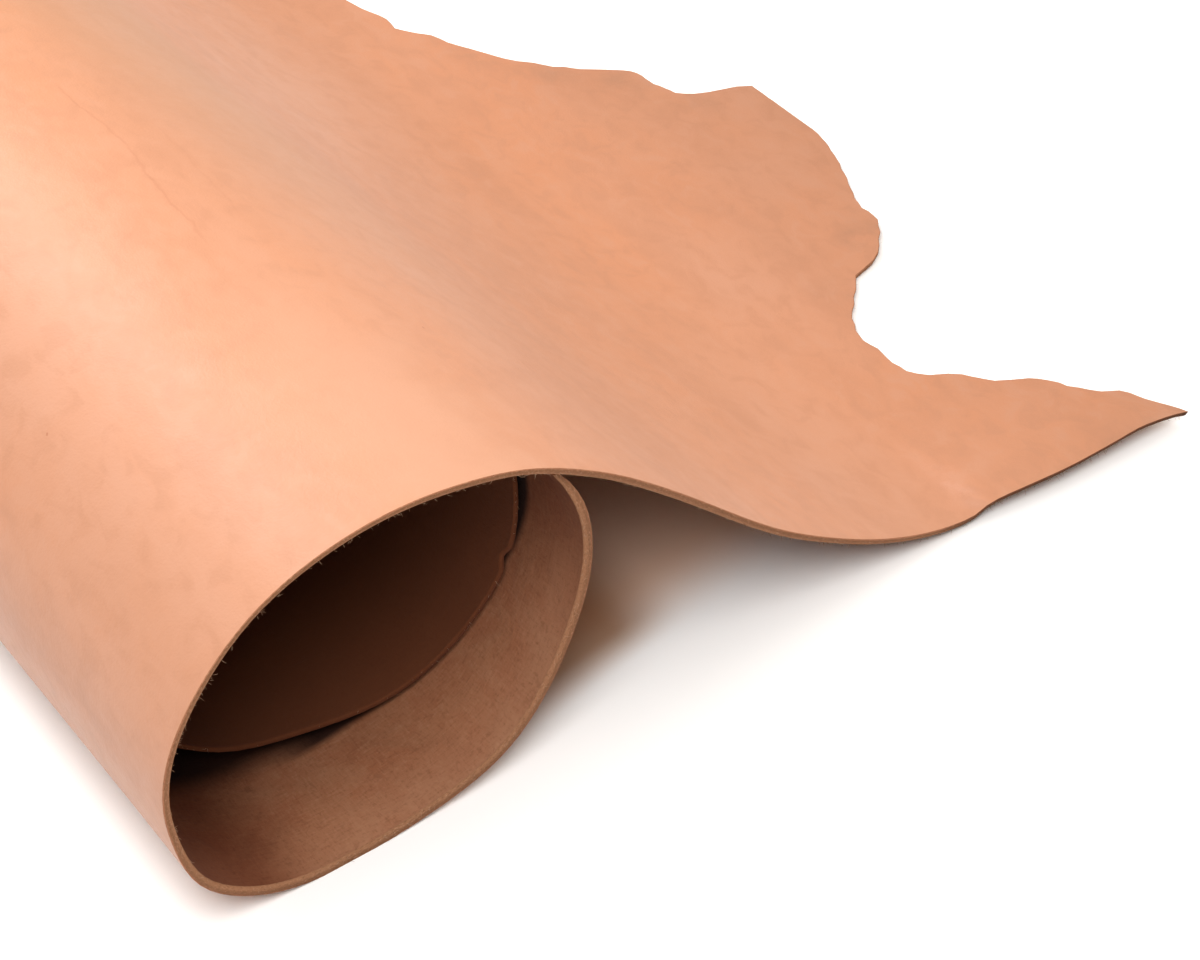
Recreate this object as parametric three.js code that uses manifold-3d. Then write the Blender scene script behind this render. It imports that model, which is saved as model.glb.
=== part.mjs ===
// A side of natural vegetable tanned leather, half unrolled: grain face out, flesh face in.
// Millimetres, +Z up. +X runs from the roll to the loose end, +Y along the roll from its mouth.
import * as THREE from "three";
import { mergeVertices } from "three/addons/utils/BufferGeometryUtils.js";
import Module from "manifold-3d";

const { lerp, smoothstep } = THREE.MathUtils;

// Driving dimensions
const thickness = 3.6;
const grainColour = 0xd9a07c;
const stepsPerBend = 2;
const looseEndX = 493;
const cutClearance = 12;

// Columns across the hide, as shares of its width, closer together beside the straight cut.
const columns = [0, 0.016, 0.05, 0.11, 0.2, 0.32, 0.46, 0.6, 0.74, 0.87, 1];

// Grain face of the loose part in the mouth plane, from its end up the slope to the roll.
const looseBends = [
  { x: looseEndX, z: thickness },
  { x: 440, z: thickness },
  { x: 390, z: thickness },
  { x: 352, z: 4.0 },
  { x: 325, z: 8.2 },
  { x: 300, z: 16.8 },
  { x: 275, z: 29.3 },
  { x: 248, z: 45.8 },
  { x: 223, z: 64.6 },
  { x: 200, z: 85.4 },
  { x: 171, z: 112.6 },
  { x: 144, z: 135.6 },
];

// One turn of the roll, from under the slope over the crest, down the left, along the floor and up.
// x and z: grain face of the outer layer. gap2 and gap3: air outside the second and third layer.
// edge2 and edge3: how far the near edge of those layers lies back from the mouth.
const rollBends = [
  { x: 115, z: 155.9, gap2: 0.9, edge2: 6, gap3: 1.2, edge3: 44 },
  { x: 95, z: 166.4, gap2: 2.4, edge2: 15, gap3: 1.6, edge3: 48 },
  { x: 71, z: 173.9, gap2: 2.8, edge2: 25, gap3: 1.9, edge3: 53 },
  { x: 36, z: 178.5, gap2: 2.6, edge2: 36, gap3: 2.0, edge3: 59 },
  { x: 5, z: 175.4, gap2: 2.2, edge2: 46, gap3: 2.0, edge3: 66 },
  { x: -31, z: 160.9, gap2: 2.2, edge2: 56, gap3: 1.8, edge3: 76 },
  { x: -56, z: 136.6, gap2: 2.4, edge2: 64, gap3: 1.5, edge3: 90 },
  { x: -71, z: 111.5, gap2: 3.0, edge2: 70, gap3: 1.3, edge3: 112 },
  { x: -76.7, z: 85.5, gap2: 4.5, edge2: 74 },
  { x: -74.8, z: 60, gap2: 7, edge2: 77 },
  { x: -66, z: 31, gap2: 10.5, edge2: 81 },
  { x: -50, z: 14.2, gap2: 12, edge2: 80 },
  { x: -31, z: 3.9, gap2: 10.5, edge2: 76 },
  { x: -13, z: 0, gap2: 8.5, edge2: 72 },
  { x: 15, z: 0, gap2: 6.5, edge2: 65 },
  { x: 37, z: 2.6, gap2: 4.5, edge2: 60 },
  { x: 60, z: 7.3, gap2: 3, edge2: 57 },
  { x: 79, z: 15.9, gap2: 2.5, edge2: 56 },
  { x: 98.5, z: 35.4, gap2: 2.2, edge2: 51 },
  { x: 112, z: 59, gap2: 2.2, edge2: 45 },
  { x: 120.5, z: 80.5, gap2: 2.2, edge2: 43 },
  { x: 125, z: 104.5, gap2: 2.0, edge2: 45 },
  { x: 124, z: 124, gap2: 1.8, edge2: 44 },
  { x: 120, z: 139.5, gap2: 1.4, edge2: 42 },
];
const thirdLayerBends = rollBends.filter((bend) => bend.gap3 !== undefined);

// Belly edge: how far the hide reaches from its straight cut, by the distance along the hide.
const bellyEdge = [
  { along: 0, reach: 906 },
  { along: 260, reach: 906 },
  { along: 420, reach: 918 },
  { along: 640, reach: 892 },
  { along: 860, reach: 872 },
  { along: 1080, reach: 884 },
  { along: 1280, reach: 912 },
  { along: 1430, reach: 930 },
  { along: 1580, reach: 886 },
  { along: 1800, reach: 742 },
];

// Outline of the loose end: how far the edge lies in from the furthest lobe, by the distance across.
const endOutline = [
  { across: -cutClearance, inset: 9.5 },
  { across: 1.5, inset: 10 },
  { across: 13, inset: 17.5 },
  { across: 24, inset: 27.5 },
  { across: 36, inset: 43 },
  { across: 57, inset: 57 },
  { across: 81, inset: 78 },
  { across: 98, inset: 99 },
  { across: 116, inset: 99.5 },
  { across: 139, inset: 99 },
  { across: 160, inset: 82 },
  { across: 177, inset: 65 },
  { across: 186, inset: 45.5 },
  { across: 205, inset: 28.5 },
  { across: 220, inset: 24.5 },
  { across: 243, inset: 15.5 },
  { across: 284, inset: 1.5 },
  { across: 314, inset: 0 },
  { across: 346, inset: 1 },
  { across: 362, inset: 34 },
  { across: 379, inset: 42 },
  { across: 402, inset: 49 },
  { across: 434, inset: 87.5 },
  { across: 475, inset: 115 },
  { across: 511, inset: 131 },
  { across: 562, inset: 135.5 },
  { across: 640, inset: 140 },
  { across: 720, inset: 136 },
  { across: 790, inset: 146 },
  { across: 850, inset: 172 },
  { across: 890, inset: 215 },
  { across: 907, inset: 271 },
  { across: 930, inset: 300 },
];

// Unevenness of the loose end: the spike is raised inside its straight cut, whose edge turns down
// to the floor, and the far lobes stand off the floor in low waves.
const spikeRidge = { height: 6, from: 320, full: 395, ease: 445, to: 484, turn: 14, back: 24, end: 85 };
const farWaves = { height: 3, fromX: 255, fullX: 370, fromY: 395, length: 165 };

function raised(x, y) {
  const { height, from, full, ease, to, turn, back, end } = spikeRidge;
  const alongSpike = smoothstep(x, from, full) * (1 - smoothstep(x, ease, to));
  const acrossSpike = smoothstep(y, 0, turn) * (1 - smoothstep(y, back, end));
  const past = Math.max(0, y - farWaves.fromY) / farWaves.length;
  const wave = 0.5 - 0.5 * Math.cos(2 * Math.PI * past);
  const alongWaves = smoothstep(x, farWaves.fromX, farWaves.fullX);
  return height * alongSpike * acrossSpike + farWaves.height * alongWaves * wave;
}

// A bend of an inner layer: the outer layer's bend moved inward, square to the outer face.
function innerBend(index, depth, near) {
  const before = rollBends[Math.max(0, index - 1)];
  const after = rollBends[Math.min(rollBends.length - 1, index + 1)];
  const along = new THREE.Vector2(after.x - before.x, after.z - before.z).normalize();
  const bend = rollBends[index];
  return { x: bend.x - along.y * depth, z: bend.z + along.x * depth, near };
}

// All bends of the sheet in order: the loose part, the outer turn, the second turn and the third.
function sheetBends() {
  const outer = [...looseBends, ...rollBends].map(({ x, z }) => ({ x, z, near: 0 }));
  const second = rollBends.map((bend, i) => innerBend(i, thickness + bend.gap2, bend.edge2));
  const third = thirdLayerBends.map((bend, i) => {
    return innerBend(i, 2 * thickness + bend.gap2 + bend.gap3, bend.edge3);
  });
  return [...outer, ...second, ...third];
}

// A smooth value between the rows of a table.
function readTable(rows, key, value, at) {
  const next = rows.findIndex((row) => row[key] >= at);
  if (next <= 0) return next === 0 ? rows[0][value] : rows[rows.length - 1][value];
  const [low, high] = [rows[next - 1], rows[next]];
  return lerp(low[value], high[value], smoothstep(at, low[key], high[key]));
}

// Stations along the sheet: a point of the grain face, the way to the flesh face, and both edges.
function sheetStations() {
  const bends = sheetBends();
  const section = new THREE.CatmullRomCurve3(bends.map(({ x, z }) => new THREE.Vector3(x, 0, z)));
  const count = (bends.length - 1) * stepsPerBend;
  const stations = [];
  let along = 0;
  for (let i = 0; i <= count; i++) {
    const point = section.getPoint(i / count);
    point.z = Math.max(0, point.z);
    const tangent = section.getTangent(i / count);
    if (i > 0) along += point.distanceTo(stations[i - 1].point);
    const bend = i / stepsPerBend;
    const [low, high] = [bends[Math.floor(bend)], bends[Math.ceil(bend)]];
    const near = lerp(low.near, high.near, bend % 1);
    const far = readTable(bellyEdge, "along", "reach", along);
    const toFlesh = new THREE.Vector3(-tangent.z, 0, tangent.x);
    stations.push({ point, toFlesh, near, far });
  }
  return stations;
}

// The sheet as a closed solid: a grid on the grain face, one on the flesh face, and four edges.
function sheetGeometry() {
  const stations = sheetStations();
  const wide = columns.length;
  const faceSize = stations.length * wide;
  const positions = [];
  for (const depth of [0, thickness]) {
    for (const { point, toFlesh, near, far } of stations) {
      for (const share of columns) {
        const y = lerp(near, far, share);
        const base = point.clone().addScaledVector(toFlesh, depth);
        const lift = raised(point.x, y);
        positions.push(base.x, y, Math.max(0, base.z) + lift);
      }
    }
  }
  const indices = [];
  const quad = (a, b, c, d) => indices.push(a, b, c, a, c, d);
  const grain = (i, j) => i * wide + j;
  const flesh = (i, j) => faceSize + i * wide + j;
  const last = stations.length - 1;
  for (let i = 0; i < last; i++) {
    for (let j = 0; j < wide - 1; j++) {
      quad(grain(i, j), grain(i, j + 1), grain(i + 1, j + 1), grain(i + 1, j));
      quad(flesh(i, j), flesh(i + 1, j), flesh(i + 1, j + 1), flesh(i, j + 1));
    }
    quad(grain(i, 0), grain(i + 1, 0), flesh(i + 1, 0), flesh(i, 0));
    quad(grain(i, wide - 1), flesh(i, wide - 1), flesh(i + 1, wide - 1), grain(i + 1, wide - 1));
  }
  for (let j = 0; j < wide - 1; j++) {
    quad(grain(0, j), flesh(0, j), flesh(0, j + 1), grain(0, j + 1));
    quad(grain(last, j), grain(last, j + 1), flesh(last, j + 1), flesh(last, j));
  }
  const geometry = new THREE.BufferGeometry();
  geometry.setAttribute("position", new THREE.Float32BufferAttribute(positions, 3));
  geometry.setIndex(indices);
  return geometry;
}

// What is trimmed off past the natural edge of the loose end, as an upright prism.
function trimGeometry() {
  const edge = endOutline.map(({ across, inset }) => new THREE.Vector2(looseEndX - inset, across));
  const outside = looseEndX + cutClearance;
  const shape = new THREE.Shape();
  shape.moveTo(edge[0].x, edge[0].y);
  shape.splineThru(edge.slice(1));
  shape.lineTo(outside, edge[edge.length - 1].y);
  shape.lineTo(outside, edge[0].y);
  const height = 2 * rollBends[0].z;
  const geometry = new THREE.ExtrudeGeometry(shape, { depth: height, bevelEnabled: false, curveSegments: 2 });
  return geometry.translate(0, 0, -cutClearance);
}

const wasm = await Module();
wasm.setup();

function solidOf(geometry) {
  const bare = geometry.clone();
  bare.deleteAttribute("normal");
  bare.deleteAttribute("uv");
  const merged = mergeVertices(bare);
  const vertProperties = merged.attributes.position.array;
  const triVerts = new Uint32Array(merged.index.array);
  return new wasm.Manifold(new wasm.Mesh({ numProp: 3, vertProperties, triVerts }));
}

function geometryOf(solid) {
  const { vertProperties, triVerts } = solid.getMesh();
  const geometry = new THREE.BufferGeometry();
  geometry.setAttribute("position", new THREE.BufferAttribute(vertProperties, 3));
  geometry.setIndex(new THREE.BufferAttribute(triVerts, 1));
  geometry.computeVertexNormals();
  return geometry;
}

// The trimmed hide, with the middle of its footprint at the origin.
function leatherGeometry() {
  const geometry = geometryOf(solidOf(sheetGeometry()).subtract(solidOf(trimGeometry())));
  geometry.computeBoundingBox();
  const { min, max } = geometry.boundingBox;
  return geometry.translate(-(min.x + max.x) / 2, -(min.y + max.y) / 2, -min.z);
}

const leather = new THREE.MeshStandardMaterial({ color: grainColour, roughness: 0.55, metalness: 0 });
const side = new THREE.Mesh(leatherGeometry(), leather);
side.name = "leather_side";

const part = new THREE.Group();
part.add(side);

export default part;
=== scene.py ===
import math
import bpy
import numpy as np
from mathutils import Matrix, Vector


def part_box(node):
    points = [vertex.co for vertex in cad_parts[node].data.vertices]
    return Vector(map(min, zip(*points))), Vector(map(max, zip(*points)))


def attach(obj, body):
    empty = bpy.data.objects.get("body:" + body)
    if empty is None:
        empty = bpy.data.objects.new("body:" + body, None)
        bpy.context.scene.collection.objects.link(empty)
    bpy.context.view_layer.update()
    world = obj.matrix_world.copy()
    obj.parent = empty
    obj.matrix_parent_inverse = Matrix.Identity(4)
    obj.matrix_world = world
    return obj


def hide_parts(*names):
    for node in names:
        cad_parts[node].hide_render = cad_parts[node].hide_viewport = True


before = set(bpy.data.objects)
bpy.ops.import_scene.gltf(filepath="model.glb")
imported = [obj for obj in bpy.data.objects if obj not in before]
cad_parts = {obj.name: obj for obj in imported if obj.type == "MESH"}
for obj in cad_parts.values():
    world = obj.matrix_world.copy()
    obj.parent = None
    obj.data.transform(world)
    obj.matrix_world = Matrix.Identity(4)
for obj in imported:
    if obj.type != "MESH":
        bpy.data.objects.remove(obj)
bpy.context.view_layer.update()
scene = bpy.context.scene
scene.view_settings.view_transform = "Standard"
mm = 0.001
rollLeft = 76.7  # millimetres from the roll's foot to its left side
lowCorner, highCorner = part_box("leather_side")
contactX = lowCorner[0] + rollLeft * mm  # where the roll meets the floor
mouthY = lowCorner[1]  # plane of the roll's open mouth
boxSize = [round(high - low, 4) for low, high in zip(lowCorner, highCorner)]
print("frame loaded, hide box", boxSize)


photoCamera = {
    "lens": 80.0,
    "sensor": 36.0,  # millimetres wide
    "fromContact": (-0.3427, -0.6380, 0.85),  # from the roll's foot at its mouth
    "down": 41.70,  # degrees below level
    "toRight": 36.44,  # degrees off the roll's own line
}


def addCamera(plan):
    lens = bpy.data.cameras.new("photo_camera")
    lens.sensor_fit = "HORIZONTAL"
    lens.sensor_width = plan["sensor"]
    lens.lens = plan["lens"]
    camera = bpy.data.objects.new("photo_camera", lens)
    offset = plan["fromContact"]
    camera.location = (contactX + offset[0], mouthY + offset[1], offset[2])
    camera.rotation_euler = (math.radians(90 - plan["down"]), 0, math.radians(-plan["toRight"]))
    scene.collection.objects.link(camera)
    scene.camera = camera


addCamera(photoCamera)
print("camera set")


# small curve tools, all in millimetres
def smoothStep(value, start, end):
    share = np.clip((value - start) / (end - start), 0, 1)
    return share * share * (3 - 2 * share)


def readSmooth(table, at):  # a smooth line through a table's points
    keys, values = np.array(table, float).T
    slopes = np.gradient(values, keys)
    at = np.clip(at, keys[0], keys[-1])
    k = np.clip(np.searchsorted(keys, at) - 1, 0, len(keys) - 2)
    span = keys[k + 1] - keys[k]
    t = (at - keys[k]) / span
    rise = values[k + 1] - values[k]
    bow = (1 - t) * (slopes[k] * span - rise) - t * (slopes[k + 1] * span - rise)
    return values[k] + t * rise + t * (1 - t) * bow


def splineThrough(knots, count):  # natural cubic spline, with its knots' places
    steps = np.linalg.norm(np.diff(knots, axis=0), axis=1)
    at = np.concatenate([[0], np.cumsum(steps)])
    size = len(knots)
    matrix = np.eye(size)
    sides = np.zeros_like(knots)
    for k in range(1, size - 1):
        matrix[k, k - 1:k + 2] = steps[k - 1], 2 * (steps[k - 1] + steps[k]), steps[k]
        after = (knots[k + 1] - knots[k]) / steps[k]
        before = (knots[k] - knots[k - 1]) / steps[k - 1]
        sides[k] = 6 * (after - before)
    bend = np.linalg.solve(matrix, sides)
    fine = np.linspace(0, at[-1], count)
    k = np.clip(np.searchsorted(at, fine) - 1, 0, size - 2)
    left = ((at[k + 1] - fine) / steps[k])[:, None]
    right = 1 - left
    push = (left ** 3 - left) * bend[k] + (right ** 3 - right) * bend[k + 1]
    points = left * knots[k] + right * knots[k + 1] + push * (steps[k] ** 2)[:, None] / 6
    return points, fine, at


def blurred(values, reach):  # soft running mean, ends held
    bell = np.exp(-0.5 * (np.arange(-3 * reach, 3 * reach + 1) / reach) ** 2)
    padded = np.pad(values, 3 * reach, mode="reflect", reflect_type="odd")
    return np.convolve(padded, bell / bell.sum(), mode="valid")


hide = {
    "thickness": 3.6,
    "looseBends": [  # x, z of the grain face from the loose end to the crest
        (493, 3.6), (440, 3.6), (390, 3.6), (352, 4.0), (325, 8.2), (300, 16.8), (275, 29.3),
        (248, 45.8), (223, 64.6), (200, 85.4), (171, 112.6), (144, 135.6),
    ],
    "rollBends": [  # x, z, second turn's gap and setback, third turn's gap and setback
        (115, 155.9, 0.9, 6, 1.2, 44), (95, 166.4, 2.4, 15, 1.6, 48), (71, 173.9, 2.8, 25, 1.9, 53),
        (36, 178.5, 2.6, 36, 2.0, 59), (5, 175.4, 2.2, 46, 2.0, 66), (-31, 160.9, 2.2, 56, 1.8, 76),
        (-56, 136.6, 2.4, 64, 1.5, 90), (-71, 111.5, 3.0, 70, 1.3, 112), (-76.7, 85.5, 5.5, 73),
        (-74.8, 60, 9, 75), (-66, 31, 13.5, 77), (-50, 14.2, 15.5, 76), (-31, 3.9, 13.5, 72),
        (-13, 0, 11, 69), (15, 0, 8.5, 62.5), (37, 2.6, 6.5, 57.5), (60, 7.3, 5, 54.5),
        (79, 15.9, 4.2, 54), (98.5, 35.4, 3.8, 49), (112, 59, 3.7, 43.5), (120.5, 80.5, 3.6, 41.5),
        (125, 104.5, 3.2, 44), (124, 124, 2.6, 43.5), (120, 139.5, 1.6, 42),
    ],
    "bellyEdge": [  # run along the hide, reach of its far edge
        (0, 906), (260, 906), (420, 918), (640, 892), (860, 872), (1080, 884), (1280, 912),
        (1430, 930), (1580, 886), (1800, 742),
    ],
    "looseOutline": [  # across the hide, inset of the loose end
        (-12, 6), (-6, 9.5), (0, 12.8), (3.3, 15.1), (17, 25), (24, 27.6), (28.2, 30), (31.1, 35.4),
        (35.4, 39.3), (45.5, 45.4), (55.4, 47.9), (65.4, 54.3), (69.5, 60), (72, 65.2), (82.1, 75),
        (87.5, 78.1), (99, 95.3), (103.8, 98.8), (110.9, 100.5), (129.8, 100), (137.2, 101.5),
        (145.3, 98.6), (174.1, 74.2), (182.5, 64), (185.3, 53), (188, 48), (196.7, 38.9), (210.7, 27.9),
        (226.4, 25.9), (236, 22.1), (272.5, 6.8), (293.2, 1), (341.5, 0.3), (351, 0.3), (355.5, 1.6),
        (360.2, 22.2), (364.3, 31.8), (368.7, 37.1), (375.2, 40.7), (382.7, 43.5), (406, 48.4),
        (418.5, 64), (431.9, 79.8), (444, 91), (452.6, 98.8), (467, 107.5), (475.6, 112.1),
        (491.3, 118.2), (500.3, 120.5), (507, 125.2), (515, 131.6), (529.4, 130.7), (559.2, 136.9),
        (640, 140), (720, 136), (790, 146), (850, 172), (890, 215), (907, 271), (930, 300),
    ],
    "leastInset": 0.3,
    "ragged": {"seed": 5, "size": 0.5, "from": (10, 40)},  # fine unevenness of that outline
    "bellyWaves": [(3.0, 41.0, 0.0), (2.0, 17.3, 1.1)],  # height, length, phase
    "bellyWavesFrom": (200, 420),
    "innerWaves": [(0.6, 31.0, 0.0), (0.4, 14.7, 0.6)],  # the same on the inner turns' edge
    "innerWavesFrom": (8, 25),
    "width": 906.0,
    "nearColumns": [0, 2.5, 3.7, 4.9, 6.1, 7.4, 9, 11, 13.5, 16.5, 20, 24, 28.5],
    "columnBands": [(33, 64, 5), (66, 330, 4.4), (332, 440, 3.6), (442, 570, 6.4)],  # from, to, step
    "farColumns": (580, 906, 26),  # from, to, count
    "tailRun": 420.0,  # rows follow the loose outline up to here
    "tailRows": 62,
    "innerRun": 1100,  # rows stand wider from here on
    "rowSteps": (6.5, 9.0, 1.8),  # outer turn, inner turns, at the nick
    "curl": [  # along the spike: x, turn of its near margin, height of its edge, spare hide
        (334, 0, 0, 0), (342, 2, 0.4, 0.3), (347, 4, 1.3, 0.6), (355, 8, 4.9, 1.0), (364, 9, 6.3, 2.0),
        (376, 10, 6.8, 3.4), (400, 10, 6.8, 5.4), (430, 12, 7.4, 6.0), (450, 12, 8.2, 6.2),
        (460, 12, 6.8, 6.3), (470, 12, 4.9, 6.4), (482, 12, 3.4, 8.2), (494, 12, 3.0, 11.0),
    ],
    "curlWidth": 6.0,
    "curlFade": (10.0, 74.0),  # across the hide, where the margin's rise dies away
    "innerEdge": {"thin": 0.62, "reach": 17.0},  # the inner turns' edge is pared thin
    "nick": {"run": 1519.0, "width": 3.0, "depth": 3.4},  # torn nick in that edge
    "farWaves": {"height": 3.0, "fromX": 255, "fullX": 370, "fromY": 395, "length": 165},
    "sway": [  # length along, length across, phase, height of the soft unevenness
        (210, 640, 0.4, 0.30), (133, -410, 2.1, 0.20), (71, 300, 4.0, 0.10), (320, 170, 1.2, 0.22),
        (54, -97, 5.1, 0.06),
    ],
    "swayEnd": (860, 960),  # run where the roll goes under and the unevenness stops
    "sectionPoints": 7200,
    "soften": 26,  # points in the running mean of the section
    "softenSetback": 40,
    "rim": [  # inset and depth of each ring over the cut edge, and its tilt
        (0.35, 0.00, 1.0), (0.08, 0.12, 0.7), (0.00, 0.42, 0.15), (0.15, 1.40, 0.0),
        (0.35, 2.35, -0.1), (0.75, 3.05, -0.5), (1.25, 3.45, -0.8), (1.95, 3.60, -1.0),
    ],
    "rimShare": 0.75,  # of the step to the next row
    "fray": {"seed": 23, "reach": 2, "size": 0.5, "top": 0.10, "deeper": 0.10},
    "fleshEdgeFrom": 4,  # setback past which the edge looks like flesh
    "bake": {  # the two faces and the strips of edge on one square sheet
        "left": 0.01, "width": 0.98, "perMetre": 0.5, "grainUp": 0.006, "fleshUp": 0.488,
        "edgeUp": 0.972, "stripLength": 1.8, "stripStep": 0.007,
    },
}
mapShift = {"flesh": 4.0, "edge": 8.0}  # metres along the map, which keep the three sides apart


def sectionLine(plan):  # the whole spiral of the grain face, by run from the loose end
    roll = plan["rollBends"]
    outer = np.array([row[:2] for row in roll], float)
    knots = [np.array(plan["looseBends"], float), outer]
    setback = [0.0] * (len(plan["looseBends"]) + len(roll))
    ring = np.vstack([plan["looseBends"][-1:], outer, outer[:1]])
    for turn in (2, 3):
        rows = [row for row in roll if len(row) > 2 * turn - 1]
        for k, row in enumerate(rows):
            along = ring[k + 2] - ring[k]
            along /= np.linalg.norm(along)
            depth = plan["thickness"] * (turn - 1) + row[2] + (row[4] if turn == 3 else 0)
            knots.append([[row[0] - along[1] * depth, row[1] + along[0] * depth]])
            setback.append(row[2 * turn - 1])
    points, fine, at = splineThrough(np.vstack(knots), plan["sectionPoints"])
    near = blurred(np.interp(fine, at, setback), plan["softenSetback"])
    x = blurred(points[:, 0], plan["soften"])
    z = np.maximum(blurred(points[:, 1], plan["soften"]), 0)
    run = np.concatenate([[0], np.cumsum(np.hypot(np.diff(x), np.diff(z)))])
    outX = np.gradient(z, run)
    outZ = -np.gradient(x, run)
    size = np.hypot(outX, outZ)
    return {
        "run": run, "x": x, "z": z, "near": np.maximum(near, 0),
        "outX": outX / size, "outZ": outZ / size,
    }


section = sectionLine(hide)
hideLength = section["run"][-1]
print("section run", round(hideLength, 1), "mm")


def curlAt(x):  # turn, height and spare hide of the spike's near margin
    table = np.array(hide["curl"], float)
    return [readSmooth(table[:, [0, k]], x) for k in range(1, 4)]


def grainPoint(run, across):  # a place on the flat hide, to its place on the rolled grain face
    x = np.interp(run, section["run"], section["x"])
    z = np.interp(run, section["run"], section["z"])
    y = np.array(across, float)
    sway = sum(
        height * (0.5 + 0.5 * np.sin(2 * math.pi * (run / along + across / over) + phase))
        for along, over, phase, height in hide["sway"]
    )
    sway = sway * (1 - smoothStep(run, *hide["swayEnd"]))
    x = x + sway * np.interp(run, section["run"], section["outX"])
    z = z + sway * np.interp(run, section["run"], section["outZ"])
    waves = hide["farWaves"]
    swell = 0.5 - 0.5 * np.cos(2 * math.pi * np.maximum(0, across - waves["fromY"]) / waves["length"])
    z = z + waves["height"] * smoothStep(x, waves["fromX"], waves["fullX"]) * swell
    turn, height, spare = curlAt(x)
    turn = np.maximum(np.radians(turn), 1e-4)  # never quite flat, so that it has a radius
    across = across + spare
    width = hide["curlWidth"]
    radius = width / turn
    left = turn * (1 - np.clip(across / width, 0, 1))
    lift = height - hide["thickness"] * (1 - np.cos(turn)) + radius * (np.cos(left) - np.cos(turn))
    z = z + lift * (1 - smoothStep(across, *hide["curlFade"]))
    y = y + np.where(across < width, width - across - radius * np.sin(left), 0)
    return np.stack([x, y, z], -1)


def grainFrame(run, across):  # the same place with its outward normal and two tangents
    probe = 0.8  # millimetres each way
    low, high = np.clip(run - probe, 0, hideLength), np.clip(run + probe, 0, hideLength)
    alongRun = grainPoint(high, across) - grainPoint(low, across)
    alongAcross = grainPoint(run, across + probe) - grainPoint(run, across - probe)
    alongRun /= np.linalg.norm(alongRun, axis=-1, keepdims=True)
    alongAcross /= np.linalg.norm(alongAcross, axis=-1, keepdims=True)
    out = np.cross(alongAcross, alongRun)
    out /= np.linalg.norm(out, axis=-1, keepdims=True)
    return grainPoint(run, across), out, alongRun, alongAcross


def inRow(points):  # section millimetres to the frame's metres
    return np.asarray(points) * mm + np.array([contactX, mouthY, 0.0])


def edgeWaves(run, rows):
    return sum(height * np.sin(run / length + phase) for height, length, phase in rows)


def hideGrid(plan):  # flat places of the hide's rows and columns
    bands = [np.arange(*band) for band in plan["columnBands"]]
    across = np.concatenate([plan["nearColumns"], *bands, np.linspace(*plan["farColumns"])])
    share = across / plan["width"]
    ragged = plan["ragged"]
    wobble = np.random.default_rng(ragged["seed"]).normal(size=len(across))
    inset = readSmooth(plan["looseOutline"], across)
    inset = inset + ragged["size"] * wobble * smoothStep(across, *ragged["from"])
    inset = np.maximum(inset, plan["leastInset"])
    tail = np.linspace(0, 1, plan["tailRows"])[:, None]
    tailRun = inset + (plan["tailRun"] - inset) * tail
    nick = plan["nick"]
    outerStep, innerStep, nickStep = plan["rowSteps"]
    rest = np.concatenate([
        np.arange(plan["tailRun"] + outerStep, plan["innerRun"], outerStep),
        np.arange(plan["innerRun"] + 4, nick["run"] - 10, innerStep),
        np.arange(nick["run"] - innerStep, nick["run"] + innerStep, nickStep),
        np.arange(nick["run"] + 12, hideLength - 5, innerStep),
        [hideLength],
    ])
    run = np.vstack([tailRun, np.repeat(rest[:, None], len(across), 1)])
    far = readSmooth(plan["bellyEdge"], run)
    far = far + smoothStep(run, *plan["bellyWavesFrom"]) * edgeWaves(run, plan["bellyWaves"])
    near = np.interp(run, section["run"], section["near"])
    near = near + smoothStep(near, *plan["innerWavesFrom"]) * edgeWaves(run, plan["innerWaves"])
    near = near + nick["depth"] * np.exp(-0.5 * ((run - nick["run"]) / nick["width"]) ** 2)
    near = near - curlAt(np.interp(run, section["run"], section["x"]))[2]
    return run, near + (far - near) * share


def hideThickness(run, across):
    near = np.interp(run, section["run"], section["near"])
    pared = smoothStep(near, 1, 9) * (1 - smoothStep(across - near, 1, hide["innerEdge"]["reach"]))
    return hide["thickness"] * (1 - hide["innerEdge"]["thin"] * pared)


print("shape tools ready")


def quadMesh(name, points, faces, slots, normals, maps, materials):
    mesh = bpy.data.meshes.new(name)
    mesh.from_pydata(points.tolist(), [], faces)
    for material in materials:
        mesh.materials.append(material)
    mesh.polygons.foreach_set("material_index", slots)
    mesh.polygons.foreach_set("use_smooth", [True] * len(faces))
    for mapName, corners in maps.items():
        layer = mesh.uv_layers.new(name=mapName)
        layer.data.foreach_set("uv", np.asarray(corners, float).ravel())
    mesh.validate()
    if normals is not None:
        mesh.normals_split_custom_set_from_vertices(normals.tolist())
    piece = bpy.data.objects.new(name, mesh)
    scene.collection.objects.link(piece)
    return piece


def rimPath(run, across):  # the hide's flat outline, once round, with its outward direction
    rows, columns = run.shape
    index = np.arange(rows * columns).reshape(rows, columns)
    path = np.concatenate([index[:, 0], index[-1, 1:], index[-2::-1, -1], index[0, -2:0:-1]])
    flat = np.stack([run.ravel()[path], across.ravel()[path]], -1)
    ahead = np.roll(flat, -1, 0) - flat
    ahead /= np.linalg.norm(ahead, axis=1, keepdims=True)
    travel = ahead + np.roll(ahead, 1, 0)
    travel /= np.maximum(np.linalg.norm(travel, axis=1, keepdims=True), 1e-6)
    outward = np.stack([travel[:, 1], -travel[:, 0]], -1)
    return path, flat, outward


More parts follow.
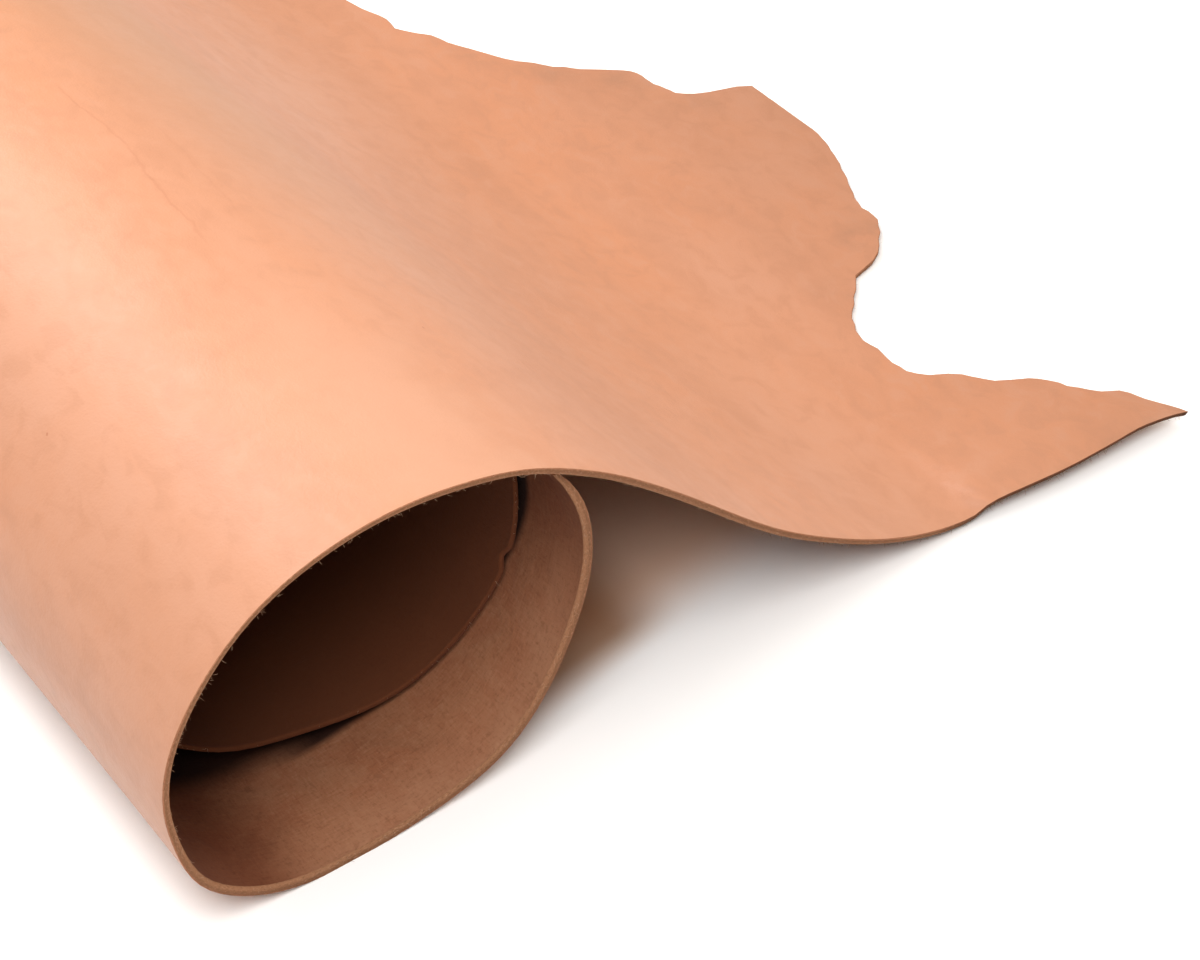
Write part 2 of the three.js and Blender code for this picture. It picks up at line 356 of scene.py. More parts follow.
def makeHide(plan, materials):
    run, across = hideGrid(plan)
    rows, columns = run.shape
    path, flat, outward = rimPath(run, across)
    ragged = plan["fray"]
    rng = np.random.default_rng(ragged["seed"])
    fray = blurred(rng.normal(size=len(path)), ragged["reach"]) * ragged["size"]
    room = np.full(len(path), plan["rowSteps"][1])  # for the rim, before the next row
    onEnd = np.arange(len(path)) >= 2 * rows + columns - 3
    room[onEnd] = (plan["tailRun"] - flat[onEnd, 0]) / (plan["tailRows"] - 1)
    fit = np.minimum(1, plan["rimShare"] * room / plan["rim"][-1][0])

    count = rows * columns
    rings = []
    points = []
    normals = []
    for side in (0, 1):  # grain face, then flesh face
        sideRun, sideAcross = run.copy(), across.copy()
        inset, depth, tilt = plan["rim"][-side]
        moved = flat - outward * (inset * fit)[:, None]
        sideRun.ravel()[path], sideAcross.ravel()[path] = moved[:, 0], moved[:, 1]
        place, out = grainFrame(sideRun.ravel(), sideAcross.ravel())[:2]
        slim = hideThickness(sideRun.ravel(), sideAcross.ravel()) / plan["thickness"]
        points.append(place - out * (depth * slim)[:, None])
        normals.append(out * tilt)
    slim = hideThickness(flat[:, 0], flat[:, 1]) / plan["thickness"]
    for inset, depth, tilt in plan["rim"][1:-1]:
        reach = (inset + (ragged["top"] + ragged["deeper"] * depth) * fray) * fit
        moved = flat - outward * reach[:, None]
        place, out, alongRun, alongAcross = grainFrame(moved[:, 0], moved[:, 1])
        away = outward[:, :1] * alongRun + outward[:, 1:] * alongAcross
        points.append(place - out * (depth * slim)[:, None])
        normals.append(away * math.sqrt(1 - tilt * tilt) + out * tilt)
        rings.append(2 * count + len(rings) * len(path) + np.arange(len(path)))
    rings = [path] + rings + [path + count]
    points, normals = np.vstack(points), np.vstack(normals)
    points[:, 2] = np.maximum(points[:, 2], 0.02)  # clear of the floor

    index = np.arange(count).reshape(rows, columns)
    grain = np.stack([index[:-1, :-1], index[:-1, 1:], index[1:, 1:], index[1:, :-1]], -1).reshape(-1, 4)
    flesh = grain[:, ::-1] + count
    edges = []
    for up, low in zip(rings, rings[1:]):
        edges.append(np.stack([up, np.roll(up, -1), np.roll(low, -1), low], -1))
    faces = np.vstack([grain, flesh, *edges])
    setback = np.interp(flat[:, 0], section["run"], section["near"])
    hidden = setback > plan["fleshEdgeFrom"]  # the inner turns' edge
    slots = [0] * len(grain) + [1] * len(flesh)
    slots += np.tile(np.where(hidden, 1, 2), len(edges)).tolist()

    flatPlace = np.stack([run.ravel(), across.ravel()], -1)
    toFlesh = [mapShift["flesh"], 0.0]
    grainMap = flatPlace[grain.ravel()] * mm
    fleshMap = flatPlace[flesh.ravel() - count] * mm + toFlesh
    following = np.roll(flat, -1, 0)
    length = np.concatenate([[0], np.cumsum(np.linalg.norm(following - flat, axis=1))])
    rimSteps = [math.dist(up[:2], low[:2]) for up, low in zip(plan["rim"], plan["rim"][1:])]
    down = np.concatenate([[0], np.cumsum(rimSteps)])
    corner = np.stack([length[:-1], length[1:], length[1:], length[:-1]], -1).ravel() * mm
    edgeMaps = []
    for k in range(len(edges)):
        level = np.tile([down[k], down[k + 1]], (len(path), 1))[:, [0, 0, 1, 1]].ravel()
        edgeMaps.append(np.stack([corner + mapShift["edge"], level * mm], -1))
    edgeMap = np.vstack(edgeMaps)
    turned = np.stack([flat, following, following, flat], 1).reshape(-1, 2)
    turned = turned * mm + toFlesh  # the inner turns' edge goes on with the flesh side
    fleshRim = np.tile(np.repeat(hidden, 4), len(edges))[:, None]
    turnedMap = np.where(fleshRim, np.tile(turned, (len(edges), 1)), edgeMap)
    hideMap = np.vstack([grainMap, fleshMap, turnedMap])

    layout = plan["bake"]
    size = np.array([layout["width"] / (hideLength * mm), layout["perMetre"]])
    edgeAt = edgeMap[:, 0] - mapShift["edge"]
    strip = np.floor((edgeAt - 1e-7) / layout["stripLength"])
    strip = np.repeat(strip.reshape(-1, 4).min(1), 4)
    edgeBake = np.stack([
        layout["left"] + (edgeAt - strip * layout["stripLength"]) * layout["perMetre"],
        layout["edgeUp"] + strip * layout["stripStep"] + edgeMap[:, 1],
    ], -1)
    bakeMap = np.vstack([
        grainMap * size + [layout["left"], layout["grainUp"]],
        (fleshMap - toFlesh) * size + [layout["left"], layout["fleshUp"]],
        edgeBake,
    ])
    piece = quadMesh(
        "leather_hide", inRow(points), faces.tolist(), slots, normals,
        {"OFBake": bakeMap, "hide": hideMap}, materials,
    )
    return piece, flat, outward


class Tone:  # one socket of a finish, so that shader maths reads as maths
    def __init__(self, finish, socket):
        self.finish = finish
        self.socket = socket

    def maths(self, operation, first, second):
        return self.finish.node("ShaderNodeMath", {"operation": operation}, {0: first, 1: second})

    def __add__(self, other):
        return self.maths("ADD", self, other)

    def __sub__(self, other):
        return self.maths("SUBTRACT", self, other)

    def __rsub__(self, other):
        return self.maths("SUBTRACT", other, self)

    def __mul__(self, other):
        return self.maths("MULTIPLY", self, other)

    def __pow__(self, other):
        return self.maths("POWER", self, other)

    __radd__ = __add__
    __rmul__ = __mul__


class Finish:  # the nodes of one material, or of the sky
    def __init__(self, owner):
        self.owner = owner
        owner.use_nodes = True
        self.tree = owner.node_tree
        self.tree.nodes.clear()

    def node(self, kind, settings, inputs, output=0):
        made = self.tree.nodes.new(kind)
        for key, value in settings.items():
            if key == "stops":
                ramp = made.color_ramp.elements
                while len(ramp) < len(value):
                    ramp.new(0.5)
                for stop, (place, colour) in zip(ramp, value):
                    stop.position = place
                    stop.color = (*colour, 1)
            else:
                setattr(made, key, value)
        for key, value in inputs.items():
            if isinstance(value, Tone):
                self.tree.links.new(value.socket, made.inputs[key])
            else:
                made.inputs[key].default_value = value
        return Tone(self, made.outputs[output]) if len(made.outputs) else None

    def flatPlace(self, stretch=(1, 1, 1), turn=0.0):  # place on the flat hide in metres
        place = self.node("ShaderNodeUVMap", {"uv_map": "hide"}, {})
        inputs = {"Vector": place, "Rotation": (0, 0, turn), "Scale": stretch}
        return self.node("ShaderNodeMapping", {}, inputs)

    def axis(self, place, name):
        return self.node("ShaderNodeSeparateXYZ", {}, {0: place}, name)

    def noise(self, place, scale, detail, rough, warp=0.0):
        inputs = {"Vector": place, "Scale": scale, "Detail": detail, "Roughness": rough, "Distortion": warp}
        return self.node("ShaderNodeTexNoise", {}, inputs)

    def noises(self, table):  # a look's named noises on the flat hide
        made = {}
        for name, (stretch, turn, detail, rough, warp) in table.items():
            made[name] = self.noise(self.flatPlace(stretch, turn), 1.0, detail, rough, warp)
        return made

    def cells(self, place, scale):
        inputs = {"Vector": place, "Scale": scale}
        return self.node("ShaderNodeTexVoronoi", {"feature": "F1"}, inputs, "Distance")

    def between(self, value, low, high):  # soft mask, 0 at low and 1 at high, either way round
        inputs = {"Value": value, "From Min": low, "From Max": high}
        return self.node("ShaderNodeMapRange", {"interpolation_type": "SMOOTHSTEP"}, inputs)

    def mix(self, share, first, second, blend="MIX"):
        settings = {"data_type": "RGBA", "blend_type": blend}
        ends = [value if isinstance(value, Tone) else (*value, 1) for value in (first, second)]
        return self.node("ShaderNodeMix", settings, {0: share, 6: ends[0], 7: ends[1]}, 2)

    def layers(self, colour, masks, look, rows):  # lays a look's tints one over another
        for name, low, high, strength, tint in rows:
            colour = self.mix(self.between(masks[name], low, high) * strength, colour, look[tint])
        return colour

    def ramp(self, value, stops):
        return self.node("ShaderNodeValToRGB", {"stops": stops}, {"Fac": value})

    def bump(self, height, distance, under=None):
        inputs = {"Height": height, "Distance": distance, "Strength": 1.0}
        if under is not None:
            inputs["Normal"] = under
        return self.node("ShaderNodeBump", {}, inputs)

    def spot(self, place, centre, half):  # 1 at the centre of a soft oval, 0 outside it
        split = [self.axis(place, name) for name in ("X", "Y")]
        far = [(split[k] - centre[k]) * (1 / half[k]) for k in (0, 1)]
        return 1 - self.between((far[0] * far[0] + far[1] * far[1]) ** 0.5, 0.1, 1.0)

    def line(self, place, start, end, width):  # 1 along a soft line on the flat hide
        split = [self.axis(place, name) for name in ("X", "Y")]
        length = math.dist(start, end)
        over, up = (end[0] - start[0]) / length, (end[1] - start[1]) / length
        along = (split[0] - start[0]) * over + (split[1] - start[1]) * up
        off = (split[1] - start[1]) * over - (split[0] - start[0]) * up
        ends = self.between(along, 0, length * 0.2) * (1 - self.between(along, length * 0.8, length))
        return (1 - self.between((off * off) ** 0.5, width * 0.2, width)) * ends

    def warped(self, place, scale, reach):  # a place pushed about by noise
        inputs = {"Vector": place, "Scale": scale, "Detail": 3.0}
        push = self.node("ShaderNodeTexNoise", {}, inputs, "Color")
        inputs = {0: push, 1: (0.5, 0.5, 0.5)}
        middle = self.node("ShaderNodeVectorMath", {"operation": "SUBTRACT"}, inputs)
        inputs = {0: middle, 1: (reach, reach, 0), 2: place}
        return self.node("ShaderNodeVectorMath", {"operation": "MULTIPLY_ADD"}, inputs)

    def close(self, inputs):
        shader = self.node("ShaderNodeBsdfPrincipled", {}, inputs)
        self.node("ShaderNodeOutputMaterial", {}, {"Surface": shader})
        return self.owner


grainLook = {
    "peach": (0.484, 0.224, 0.127),
    "orange": (0.500, 0.220, 0.118),
    "pink": (0.492, 0.238, 0.143),
    "tan": (0.440, 0.203, 0.115),
    "paintedSheen": (0.430, 0.224, 0.127),  # painted sheen: the greyer band down the slope, where it reflects the white studio at a grazing angle
    "stain": (0.354, 0.178, 0.107),
    "light": (0.505, 0.264, 0.168),  # painted highlight on the crest near the mouth
    "vein": (0.340, 0.120, 0.060),
    "noises": {  # stretch, turn, detail, roughness, warp
        "clouds": ((9, 3.4, 1), 0.0, 5, 0.55, 0.5),
        "streaks": ((27, 6.5, 1), 0.12, 4, 0.5, 0.4),
        "patches": ((33, 33, 33), 0.0, 5, 0.6, 0.3),
        "mottle": ((90, 58, 1), 0.1, 3, 0.55, 0.6),
        "fine": ((210, 210, 210), 0.0, 4, 0.6, 0.0),
        "tooth": ((1500, 1500, 1500), 0.0, 2, 0.6, 0.0),
    },
    "poreScale": 760.0,
    "under": [  # mask, where a tint starts and is full, strength, tint
        ("clouds", 0.36, 0.64, 1.00, "pink"), ("streaks", 0.42, 0.68, 0.55, "tan"),
        ("patches", 0.40, 0.66, 0.50, "peach"), ("mottle", 0.46, 0.70, 0.60, "tan"),
        ("mottle", 0.48, 0.32, 0.55, "pink"),
    ],
    "over": [("fine", 0.60, 0.78, 0.10, "tan"), ("pores", 0.30, 0.05, 0.06, "stain")],
    "band": {"run": 0.395, "half": 0.105, "drift": 0.12, "across": (0.06, 0.50), "strength": 0.7},
    "stains": [  # run, across, half run, half across, strength
        (0.089, 0.427, 0.022, 0.034, 0.55), (0.061, 0.393, 0.018, 0.026, 0.5),
        (0.040, 0.196, 0.020, 0.036, 0.6), (0.088, 0.150, 0.016, 0.050, 0.4),
        (0.036, 0.350, 0.020, 0.036, 0.3), (0.110, 0.470, 0.018, 0.030, 0.35),
        (0.150, 0.700, 0.030, 0.080, 0.35),
    ],
    "stainBreaks": (0.40, 0.85),  # where the patches let a stain through
    # painted highlight spots: run, across, half run, half across, strength
    "lights": [(0.482, 0.030, 0.062, 0.190, 0.80)],
    "spotLoose": (30.0, 0.05),  # noise scale and reach that make the spots irregular
    "veins": [  # from and to on the flat hide, half width, strength
        ((0.478, 0.345), (0.474, 0.270), 0.0011, 0.20), ((0.474, 0.290), (0.485, 0.182), 0.0011, 0.20),
        ((0.450, 0.300), (0.456, 0.200), 0.0012, 0.09), ((0.282, 0.160), (0.262, 0.130), 0.0007, 0.22),
        ((0.330, 0.520), (0.345, 0.420), 0.0013, 0.08), ((0.610, 0.430), (0.600, 0.330), 0.0013, 0.10),
        ((0.4235, 0.1106), (0.4245, 0.1094), 0.0010, 0.80),
        ((0.5915, 0.1446), (0.5925, 0.1434), 0.0010, 0.80),
    ],
    "veinLoose": (55.0, 0.008),
    "paintedShadeScale": 1.111,
    "paintedShadeByRun": [  # share of 0.9 m of run, painted light and shade from the loose leg to the underside: lighter over the roll's top, darker below
        (0.0, 0.86), (0.09, 0.91), (0.17, 0.975), (0.40, 0.95), (0.49, 0.995), (0.56, 1.0), (0.66, 0.94),
        (0.82, 0.87), (0.92, 0.77),
    ],
    "roughness": 0.46,
    "roughParts": (0.14, 0.10, 0.05),  # what the patches, the fine noise and the band add
    "poreBump": 0.00010,  # metres
    "patchBump": 0.00045,
}


def grainFinish(look):
    made = Finish(bpy.data.materials.new("leatherGrain"))
    place = made.flatPlace()
    run, across = made.axis(place, "X"), made.axis(place, "Y")
    masks = made.noises(look["noises"])
    masks["pores"] = made.cells(place, look["poreScale"])
    patches, fine = masks["patches"], masks["fine"]
    colour = made.layers(look["orange"], masks, look, look["under"])
    # painted sheen: a greyer band down the slope
    plan = look["band"]
    offBand = (run - plan["run"] + (masks["clouds"] - 0.5) * plan["drift"]) * (1 / plan["half"])
    band = 1 - made.between((offBand * offBand) ** 0.5, 0.05, 1.0)
    colour = made.mix(band * made.between(across, *plan["across"]) * plan["strength"], colour, look["paintedSheen"])
    loose = made.warped(place, *look["spotLoose"])
    breaks = made.between(patches + fine * 0.3, *look["stainBreaks"])
    for spotRun, spotAcross, halfRun, halfAcross, strength in look["stains"]:
        spot = made.spot(loose, (spotRun, spotAcross), (halfRun, halfAcross))
        colour = made.mix(spot * strength * breaks, colour, look["stain"])
    # painted highlight near the mouth's crest
    for spotRun, spotAcross, halfRun, halfAcross, strength in look["lights"]:
        spot = made.spot(loose, (spotRun, spotAcross), (halfRun, halfAcross))
        colour = made.mix(spot * strength, colour, look["light"])
    shaky = made.warped(place, *look["veinLoose"])
    for start, end, width, strength in look["veins"]:
        colour = made.mix(made.line(shaky, start, end, width) * strength, colour, look["vein"])
    # painted light and shade along the run
    paintedShadeByRun = made.ramp(run * look["paintedShadeScale"], [(at, (tone,) * 3) for at, tone in look["paintedShadeByRun"]])
    colour = made.mix(1.0, colour, paintedShadeByRun, "MULTIPLY")
    colour = made.layers(colour, masks, look, look["over"])
    byPatch, byFine, byBand = look["roughParts"]
    roughness = look["roughness"] + (patches - 0.5) * byPatch + (fine - 0.5) * byFine + band * byBand
    swell = made.bump(patches * 0.6 + fine * 0.4, look["patchBump"])
    normal = made.bump(masks["pores"] * 0.5 + masks["tooth"] * 0.5, look["poreBump"], swell)
    return made.close({
        "Base Color": colour, "Roughness": roughness, "Normal": normal,
        "Specular IOR Level": 0.24, "Sheen Weight": 0.02, "Sheen Roughness": 0.4,
    })


fleshLook = {
    "brown": (0.292, 0.122, 0.061),
    "red": (0.274, 0.104, 0.050),
    "dark": (0.136, 0.050, 0.023),
    "pale": (0.400, 0.200, 0.114),
    "noises": {  # stretch, turn, detail, roughness, warp
        "mottle": ((46, 46, 46), 0.0, 5, 0.62, 0.6),
        "nap": ((420, 420, 420), 0.0, 4, 0.65, 0.3),
        "along": ((170, 900, 1), 0.6, 3, 0.6, 0.8),
        "athwart": ((900, 210, 1), 0.35, 3, 0.6, 0.8),
        "blotch": ((17, 17, 17), 0.0, 4, 0.6, 0.8),
        "pits": ((160, 160, 160), 0.0, 2, 0.5, 1.0),
    },
    "layers": [  # mask, where a tint starts and is full, strength, tint
        ("mottle", 0.36, 0.62, 1.00, "brown"), ("blotch", 0.50, 0.70, 0.32, "pale"),
        # the pale tint by across is painted light on the flesh at the mouth's lip
        ("blotch", 0.48, 0.30, 0.28, "dark"), ("across", 0.034, 0.0, 0.34, "pale"),
        ("strands", 0.50, 0.66, 0.30, "pale"), ("strands", 0.49, 0.36, 0.30, "dark"),
        ("nap", 0.54, 0.74, 0.32, "dark"), ("pits", 0.62, 0.74, 0.24, "dark"),
    ],
    "inside": (0.118, 0.038, 0.016),  # painted shade on the deeper turns of the roll
    "insideFrom": (1.02, 1.14),  # run along the hide, in metres, here and below
    "shade": (0.39, 0.245, 0.18),  # painted shade: redder and darker towards the left and the upper right of the mouth
    "shadeLeft": ((0.0, 0.6), (0.755, 0.808)),
    "shadeRight": (0.91, 1.03),
    "gap": (0.11, 0.10, 0.12),  # painted shade in the gap behind the second turn
    "gapStart": (0.69, 0.74),
    "gapEnd": (0.83, 0.89),
    "gapAcross": (0.058, 0.076),
    "turnEdgeShadeStart": (0.80, 0.83),  # painted shade, the same dark, along the second turn's edge
    "turnEdgeShadeEnd": (1.00, 1.03),
    "turnEdgeShadeAcross": (0.0575, 0.0630),
    "turnEdgeShadeClimb": ((0.88, 1.00), 0.020),  # how it follows that edge up the right wall
    "strandBump": 0.0006,  # metres
    "mottleBump": 0.0010,
}


def fleshFinish(look):
    made = Finish(bpy.data.materials.new("leatherFlesh"))
    place = made.flatPlace()
    run = made.axis(place, "X") - mapShift["flesh"]
    across = made.axis(place, "Y")
    masks = made.noises(look["noises"])
    strands = (masks["along"] + masks["athwart"]) * 0.5
    masks.update({"strands": strands, "across": across})
    colour = made.layers(look["red"], masks, look, look["layers"])
    # painted shade inside the mouth, to the left and upper right
    shadeIn, shadeOut = look["shadeLeft"]
    shade = made.between(run, *shadeIn) * (1 - made.between(run, *shadeOut))
    shade = shade + made.between(run, *look["shadeRight"])
    colour = made.mix(shade * 0.9, colour, made.mix(1.0, colour, look["shade"], "MULTIPLY"))
    # painted shade in the gap behind the second turn
    gap = made.between(across, *look["gapAcross"]) * made.between(run, *look["gapStart"])
    gap = gap * (1 - made.between(run, *look["gapEnd"]))
    colour = made.mix(gap, colour, look["gap"], "MULTIPLY")
    # painted shade along the second turn's edge
    climbRuns, climb = look["turnEdgeShadeClimb"]
    creep = across + made.between(run, *climbRuns) * climb
    turnEdgeShade = made.between(creep, *look["turnEdgeShadeAcross"]) * made.between(run, *look["turnEdgeShadeStart"])
    turnEdgeShade = turnEdgeShade * (1 - made.between(run, *look["turnEdgeShadeEnd"]))
    colour = made.mix(turnEdgeShade, colour, look["gap"], "MULTIPLY")
    # painted shade deep inside the roll
    colour = made.mix(made.between(run, *look["insideFrom"]) * 0.8, colour, look["inside"])
    swell = made.bump(masks["mottle"], look["mottleBump"])
    normal = made.bump(strands * 0.6 + masks["nap"] * 0.4, look["strandBump"], swell)
    return made.close({
        "Base Color": colour, "Roughness": 0.88 + (masks["nap"] - 0.5) * 0.2, "Normal": normal,
        "Specular IOR Level": 0.06, "Sheen Weight": 0.02, "Sheen Roughness": 0.6,
    })


edgeLook = {
    "skin": (0.330, 0.140, 0.074),  # thin line of the grain layer
    "dense": (0.225, 0.100, 0.050),
    "fibre": (0.300, 0.140, 0.072),
    "pale": (0.430, 0.236, 0.143),
    "dark": (0.150, 0.064, 0.031),
    "levels": [  # share of the way down the edge, colour
        (0.0, "skin"), (0.10, "skin"), (0.20, "dense"), (0.42, "dense"), (0.62, "fibre"), (1.0, "fibre"),
    ],
    "perMetre": 220.0,  # turns a depth into that share
    "noises": {  # stretch, turn, detail, roughness, warp
        "grit": ((620, 1500, 1), 0.0, 4, 0.65, 0.4),
        "layer": ((90, 900, 1), 0.0, 3, 0.6, 0.5),
    },
    "layers": [("grit", 0.53, 0.72, 0.75, "pale"), ("grit", 0.48, 0.30, 0.75, "dark")],
    "spikeShade": (0.34, 0.29, 0.27),  # painted shade on the edge along the spike's near margin
    "spikeEnd": (0.125, 0.165),  # metres of edge from its tip
    "bump": 0.0006,
}


def edgeFinish(look):
    made = Finish(bpy.data.materials.new("cutEdge"))
    place = made.flatPlace()
    masks = made.noises(look["noises"])
    grit, layer = masks["grit"], masks["layer"]
    level = made.axis(place, "Y") * look["perMetre"] + (layer - 0.5) * 0.35
    colour = made.ramp(level, [(at, look[name]) for at, name in look["levels"]])
    colour = made.layers(colour, masks, look, look["layers"])
    along = made.axis(place, "X") - mapShift["edge"]
    # painted shade on the spike's near edge
    spike = 1 - made.between(along, *look["spikeEnd"])
    colour = made.mix(spike * 0.85, colour, look["spikeShade"], "MULTIPLY")
    normal = made.bump(grit * 0.7 + layer * 0.3, look["bump"])
    return made.close({
        "Base Color": colour, "Roughness": 0.85 + (grit - 0.5) * 0.2, "Normal": normal,
        "Specular IOR Level": 0.08,
    })


hidePiece, rimFlat, rimOutward = makeHide(hide, [
    grainFinish(grainLook), fleshFinish(fleshLook), edgeFinish(edgeLook),
])
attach(hidePiece, "root")
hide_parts("leather_side")
print("hide made", len(hidePiece.data.polygons), "faces")


fibrePlan = {
    "count": 1300,
    "length": (0.5, 2.3),  # millimetres
    "thick": 0.075,
    "thins": (1.0, 0.9, 0.7, 0.25),  # four rings along each strand
    "root": 0.7,  # depth of the root in the edge
    "bend": 0.35,
    "mouthShare": 3.0,  # more of them round the mouth
    "seed": 41,
    "pale": (0.46, 0.290, 0.190),
    "brown": (0.30, 0.160, 0.090),
}


def fibreFinish(plan):
    made = Finish(bpy.data.materials.new("looseFibre"))
    tint = made.noise(made.flatPlace(), 700.0, 2, 0.6)
    colour = made.mix(made.between(tint, 0.35, 0.65), plan["brown"], plan["pale"])
    roughness = 0.8 + (tint - 0.5) * 0.2
    return made.close({"Base Color": colour, "Roughness": roughness, "Specular IOR Level": 0.3})


def makeFibres(plan, flat, outward, material):
    rng = np.random.default_rng(plan["seed"])
    count = plan["count"]
    ahead = np.roll(flat, -1, 0) - flat
    near = np.interp(flat[:, 0], section["run"], section["near"])
    mouth = (flat[:, 1] < near + 2) & (near < 3)
    weight = np.linalg.norm(ahead, axis=1) * np.where(mouth, plan["mouthShare"], 1.0)
    pick = rng.choice(len(flat), count, p=weight / weight.sum())
    start = flat[pick] + ahead[pick] * rng.random((count, 1))
    place, out, alongRun, alongAcross = grainFrame(start[:, 0], start[:, 1])
    away = outward[pick, :1] * alongRun + outward[pick, 1:] * alongAcross
    side = np.cross(out, away)
    depth = hideThickness(start[:, 0], start[:, 1]) * (1 - 0.8 * rng.random(count) ** 2)
    root = place - out * depth[:, None] - away * plan["root"]
    shortest, longest = plan["length"]
    length = shortest + (longest - shortest) * rng.random(count) ** 2.5
    aim = away * (0.5 + rng.random((count, 1)))
    aim = aim + side * rng.normal(size=(count, 1))
    aim = aim - out * rng.normal(0.2, 0.5, (count, 1))
    aim /= np.linalg.norm(aim, axis=1, keepdims=True)
    bend = np.cross(aim, rng.normal(size=(count, 3)))
    ring = np.cross(aim, away + 0.3 * out)
    ring /= np.linalg.norm(ring, axis=1, keepdims=True)
    over = np.cross(aim, ring)
    points = []
    for k, thin in enumerate(plan["thins"]):
        share = k / 3
        middle = root + aim * ((length + plan["root"]) * share)[:, None]
        middle = middle + bend * (length * plan["bend"] * share * share)[:, None]
        for corner in range(3):
            angle = corner * 2 * math.pi / 3
            points.append(middle + (ring * math.cos(angle) + over * math.sin(angle)) * plan["thick"] * thin)
    points = np.stack(points, 1)
    points[:, :, 2] = np.maximum(points[:, :, 2], 0.03)  # clear of the floor
    strand = [(2, 1, 0), (9, 10, 11)]
    for k in (0, 3, 6):
        strand += [(k + c, k + (c + 1) % 3, k + 3 + (c + 1) % 3, k + 3 + c) for c in range(3)]
    faces = [tuple(12 * n + c for c in face) for n in range(count) for face in strand]
    corners = np.array([c for face in faces for c in face])
    places = np.repeat(start * mm, 12, 0)[corners]
    rows = inRow(points.reshape(-1, 3))
    return quadMesh("edge_fibres", rows, faces, [0] * len(faces), None, {"hide": places}, [material])


fibres = makeFibres(fibrePlan, rimFlat, rimOutward, fibreFinish(fibrePlan))
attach(fibres, "root")
print("edge fibres made", len(fibres.data.polygons), "faces")


floorPlan = {
    "half": 30.0,  # metres
    "white": (0.96, 0.95, 0.935),
    "soft": (0.94, 0.93, 0.915),
    "warmShadow": (0.93, 0.66, 0.50),  # painted shadow on the floor under the slope, warmed with the hide's colour
    "warmFrom": (0.018, 0.060),  # metres behind the mouth
    "coveShadow": (0.47, 0.34, 0.25),  # painted shadow on the floor beside the roll
    "coveFrom": (0.020, 0.042),
    "coveEnd": (0.165, 0.208),  # metres right of the roll's foot
    "underFrom": (0.02, 0.10),
    "underEnd": (0.26, 0.36),
    "underBack": (0.30, 0.45),  # metres behind the mouth
    "slant": (0.150, 0.15),  # the shade starts further back to the right of this place, by this share
}


def floorFinish(plan):
    made = Finish(bpy.data.materials.new("paleFloor"))
    place = made.node("ShaderNodeTexCoord", {}, {}, "Object")
    tooth = made.noise(place, 240.0, 3, 0.6)
    colour = made.mix(made.noise(place, 3.0, 3, 0.5), plan["white"], plan["soft"])
    across = made.axis(place, "X") - contactX
    slantFrom, slant = plan["slant"]
    behind = made.axis(place, "Y") - mouthY - (across - slantFrom) * slant
    under = made.between(across, *plan["underFrom"]) * (1 - made.between(behind, *plan["underBack"]))
    # painted warm shadow under the sheet
    warmShadow = under * made.between(behind, *plan["warmFrom"]) * (1 - made.between(across, *plan["underEnd"]))
    # painted shadow beside the roll's right wall
    coveShadow = under * made.between(behind, *plan["coveFrom"]) * (1 - made.between(across, *plan["coveEnd"]))
    colour = made.mix(warmShadow, colour, plan["warmShadow"], "MULTIPLY")
    colour = made.mix(coveShadow, colour, plan["coveShadow"], "MULTIPLY")
    roughness = 0.75 + (tooth - 0.5) * 0.2
    return made.close({"Base Color": colour, "Roughness": roughness, "Specular IOR Level": 0.2})


def makeFloor(plan):
    half = plan["half"]
    corners = [(-half, -half, 0), (half, -half, 0), (half, half, 0), (-half, half, 0)]
    mesh = bpy.data.meshes.new("floor")
    mesh.from_pydata(corners, [], [(0, 1, 2, 3)])
    mesh.materials.append(floorFinish(plan))
    piece = bpy.data.objects.new("floor", mesh)
    scene.collection.objects.link(piece)


makeFloor(floorPlan)

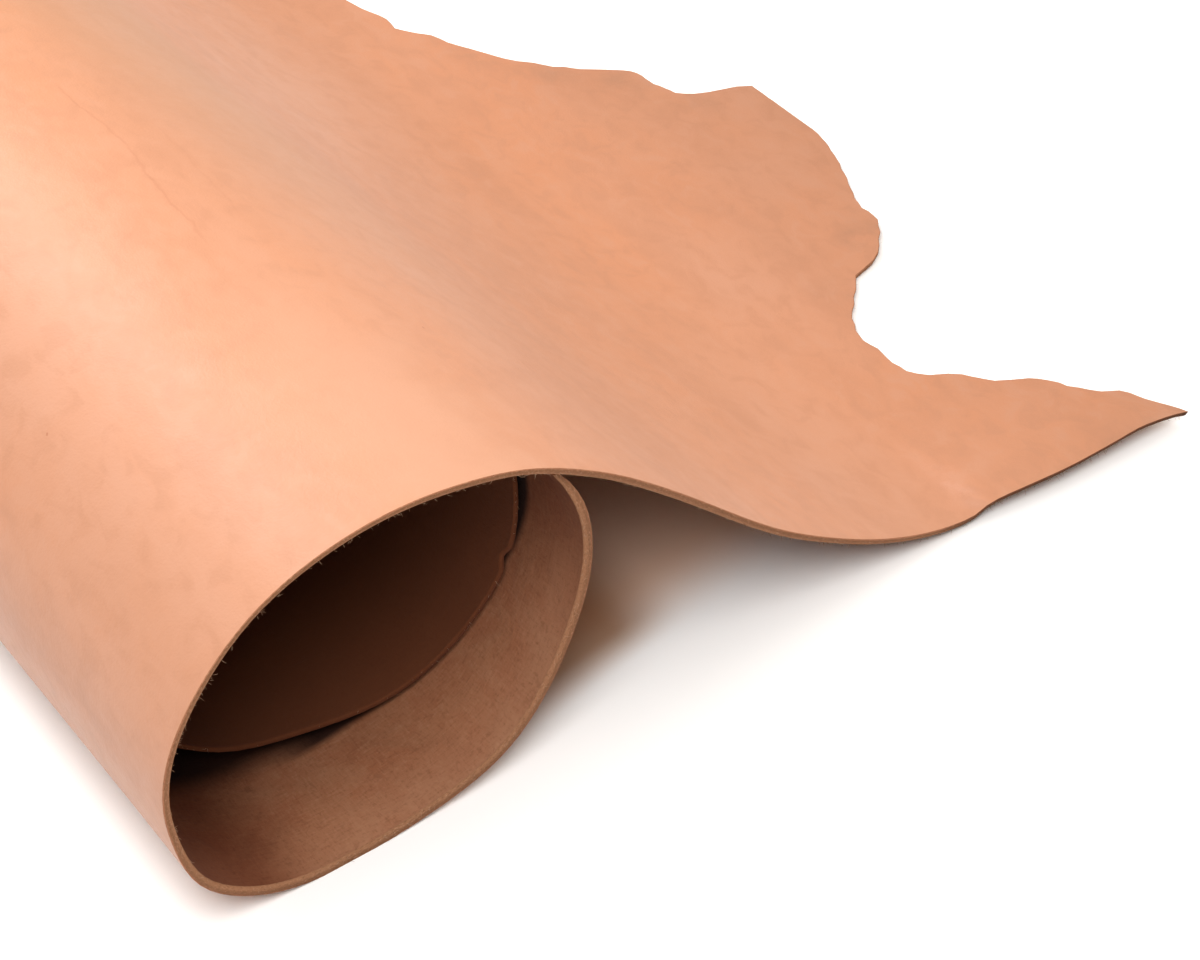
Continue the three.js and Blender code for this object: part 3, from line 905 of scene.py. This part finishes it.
studio = {
    "sky": 0.05,
    "backdrop": 1.0,  # what the camera sees past the floor
    "aim": (-0.12, -0.10, 0.06),
    "near": [  # name, place, strength, metres across
        ("over_left", (-0.42, -0.22, 0.85), 0.26, 0.55), ("over_back", (-0.30, 0.60, 1.30), 0.46, 0.55),
        ("left_back", (-1.05, 0.90, 0.85), 0.14, 0.55), ("front", (-0.70, -1.12, 1.53), 0.84, 1.1),
        ("back_high", (0.00, 1.30, 1.60), 0.30, 0.55),
    ],
    "softness": 48.0,  # degrees across each far lamp
    "farPlace": (0, 0, 2.5),
    "far": [  # name, azimuth from +X, height in degrees, strength, tint
        ("right_low", 0, 18, 0.62, (1.0, 0.89, 0.78)), ("back_low", 90, 18, 0.28, (1.0, 0.90, 0.80)),
        ("overhead", 0, 88, 0.20, (1.0, 1.0, 1.0)), ("front_low", 262, 16, 0.04, (1.0, 0.80, 0.66)),
    ],
}


def addLamp(name, kind, place, turn, energy):
    lamp = bpy.data.lights.new(name, kind)
    lamp.energy = energy
    holder = bpy.data.objects.new(name, lamp)
    holder.location = place
    holder.rotation_euler = turn
    scene.collection.objects.link(holder)
    return lamp


def lightStudio(plan):
    sky = Finish(bpy.data.worlds.new("studio_sky"))
    seen = sky.node("ShaderNodeLightPath", {}, {}, "Is Camera Ray")
    inputs = {"Value": seen, "To Min": plan["sky"], "To Max": plan["backdrop"]}
    level = sky.node("ShaderNodeMapRange", {}, inputs)
    white = sky.node("ShaderNodeBackground", {}, {"Color": (1, 1, 1, 1), "Strength": level})
    sky.node("ShaderNodeOutputWorld", {}, {"Surface": white})
    scene.world = sky.owner
    for name, place, strength, width in plan["near"]:
        ray = Vector(place) - Vector(plan["aim"])
        turn = ray.to_track_quat("Z", "Y").to_euler()
        lamp = addLamp(name, "AREA", place, turn, strength * math.pi ** 2 * ray.length_squared)
        lamp.shape = "DISK"
        lamp.size = width
    for name, azimuth, height, strength, tint in plan["far"]:
        turn = (math.radians(90 - height), 0, math.radians(azimuth + 90))
        lamp = addLamp(name, "SUN", plan["farPlace"], turn, math.pi * strength)
        lamp.angle = math.radians(plan["softness"])
        lamp.color = tint


lightStudio(studio)
print("floor and light set")
